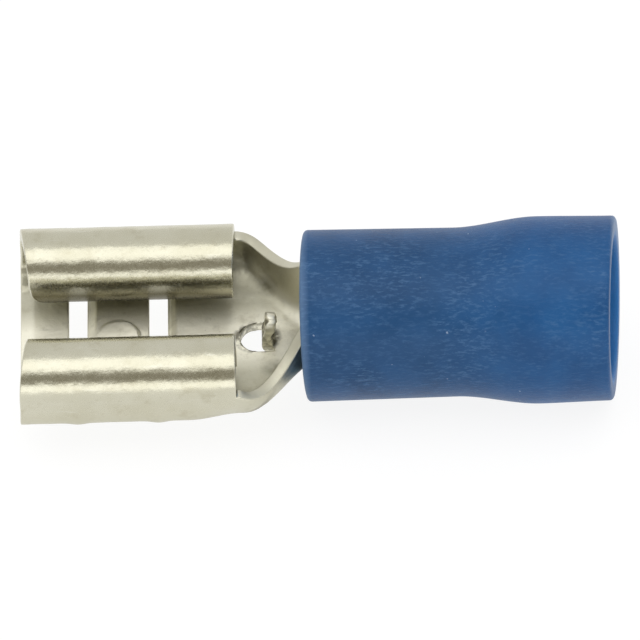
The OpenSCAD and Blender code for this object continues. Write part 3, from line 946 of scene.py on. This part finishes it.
def floor_finish():
    """Pale floor that shows white, with a faint shadow, and lights the part as a pale floor does."""
    material, shader = new_material("pale floor")
    matte = shader.node("ShaderNodeBsdfDiffuse", {"Color": (FLOOR_ALBEDO,) * 3 + (1,)})
    shaded = shader.node("ShaderNodeBsdfDiffuse", {"Color": (FLOOR_SHADED,) * 3 + (1,)})
    glow = shader.node("ShaderNodeEmission", {"Color": (1, 1, 1, 1), "Strength": FLOOR_GLOW})
    white = shader.node("ShaderNodeAddShader", {0: shaded.outputs[0], 1: glow.outputs[0]})
    path = shader.node("ShaderNodeLightPath").outputs
    seen = shader.math("MAXIMUM", path["Is Camera Ray"], path["Is Glossy Ray"])
    seen = shader.math("MAXIMUM", seen, path["Is Transmission Ray"])
    both = shader.node("ShaderNodeMixShader", {0: seen, 1: matte.outputs[0], 2: white.outputs[0]})
    shader.node("ShaderNodeOutputMaterial", {"Surface": both.outputs[0]})
    return material


# ------------------------------------------------------------------- studio

VIEW_RISE = math.radians(52)
VIEW_TURN = math.radians(0.8)
VIEW_ROLL = math.radians(1.5)
VIEW_DISTANCE = 0.515
SKY_LIGHT = 0.87
SKY_DARK = 0.29
SKY_WARM = (1, 0.93, 0.76, 1)
# Angles at which the dark band of the sky begins and ends, each with its soft edge
BAND_START = (math.radians(22), math.radians(30))
BAND_END = (math.radians(56), math.radians(64))
LAMP_DISTANCE = 0.3
LAMP_LENGTH = 0.5
FLOOR_REACH = 1.5
OUTLINE_SHARE = 603 / 640


def camera_axes():
    """Rows: the camera's right, up and backward directions in the frame."""
    tip = math.pi / 2 - VIEW_RISE
    base = Matrix(((1, 0, 0), (0, math.cos(tip), math.sin(tip)), (0, -math.sin(tip), math.cos(tip))))
    turn = Matrix.Rotation(-VIEW_TURN, 3, "Y")
    roll = Matrix.Rotation(VIEW_ROLL, 3, "Z")
    return roll @ turn @ base


def make_camera(pieces):
    axes = camera_axes()
    spots = np.concatenate([np.array([v.co for v in p.data.vertices]) for p in pieces])
    seen = spots @ np.array(axes).T
    low, high = seen.min(axis=0), seen.max(axis=0)
    centre = Vector((low + high) / 2)
    data = bpy.data.cameras.new("camera")
    data.sensor_width = 36
    data.lens = data.sensor_width * VIEW_DISTANCE * OUTLINE_SHARE / float(high[0] - low[0])
    data.clip_start, data.clip_end = 0.01, 10
    camera = bpy.data.objects.new("camera", data)
    bpy.context.scene.collection.objects.link(camera)
    turned_back = axes.transposed()
    camera.matrix_world = (Matrix.Translation(turned_back @ (centre + Vector((0, 0, VIEW_DISTANCE))))
                           @ turned_back.to_4x4())
    bpy.context.scene.camera = camera


def softbox(name, angle, width, power):
    """Long soft lamp along X, at an angle up from the horizon on the camera's side."""
    data = bpy.data.lights.new(name, "AREA")
    data.shape = "RECTANGLE"
    data.size, data.size_y = width, LAMP_LENGTH
    data.energy = power
    lamp = bpy.data.objects.new(name, data)
    bpy.context.scene.collection.objects.link(lamp)
    away = Vector((0, -math.cos(angle), math.sin(angle)))
    lamp.rotation_mode = "QUATERNION"
    lamp.rotation_quaternion = away.to_track_quat("Z", "X")
    lamp.location = away * LAMP_DISTANCE + Vector((0, 0, AXIS_Z * MM))


def make_studio():
    softbox("overhead", math.radians(84), width=0.22, power=0.31)
    softbox("low_front", math.radians(7), width=0.18, power=0.26)

    world = bpy.data.worlds.new("studio")
    bpy.context.scene.world = world
    world.use_nodes = True
    world.node_tree.nodes.clear()
    shader = Shader(world.node_tree)
    seen = shader.node("ShaderNodeLightPath").outputs["Is Camera Ray"]
    way = shader.node("ShaderNodeSeparateXYZ", {
        0: shader.node("ShaderNodeTexCoord").outputs["Generated"]}).outputs
    angle = shader.math("ARCTAN2", way["Z"], shader.math("MULTIPLY", way["Y"], -1))
    dark = shader.math("SUBTRACT", shader.spread(angle, *BAND_START), shader.spread(angle, *BAND_END))
    level = shader.spread(dark, 0, 1, SKY_LIGHT, SKY_DARK)
    strength = shader.math("MAXIMUM", level, seen)
    warm = shader.math("MULTIPLY", dark, shader.math("SUBTRACT", 1.0, seen))
    colour = shader.blend(warm, (1, 1, 1, 1), SKY_WARM)
    sky = shader.node("ShaderNodeBackground", {"Color": colour, "Strength": strength})
    shader.node("ShaderNodeOutputWorld", {"Surface": sky.outputs[0]})

    mesh = bpy.data.meshes.new("floor")
    corners = [(x * FLOOR_REACH, y * FLOOR_REACH, 0) for x, y in ((-1, -1), (1, -1), (1, 1), (-1, 1))]
    mesh.from_pydata(corners, [], [(0, 1, 2, 3)])
    mesh.materials.append(floor_finish())
    floor = bpy.data.objects.new("floor", mesh)
    bpy.context.scene.collection.objects.link(floor)


# ------------------------------------------------------------------ the part

bpy.context.scene.view_settings.view_transform = "Standard"

contact = make_contact()
surface_patches = patches_group()
contact.data.materials.append(tin_finish(surface_patches))
sleeve = make_sleeve(vinyl_finish(surface_patches))
for piece, node_name, slot_name in ((contact, "metal_contact", "tinned_brass"),
                                    (sleeve, "insulating_sleeve", "vinyl")):
    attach(piece, "root")
    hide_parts(node_name)
make_camera([contact, sleeve])
make_studio()
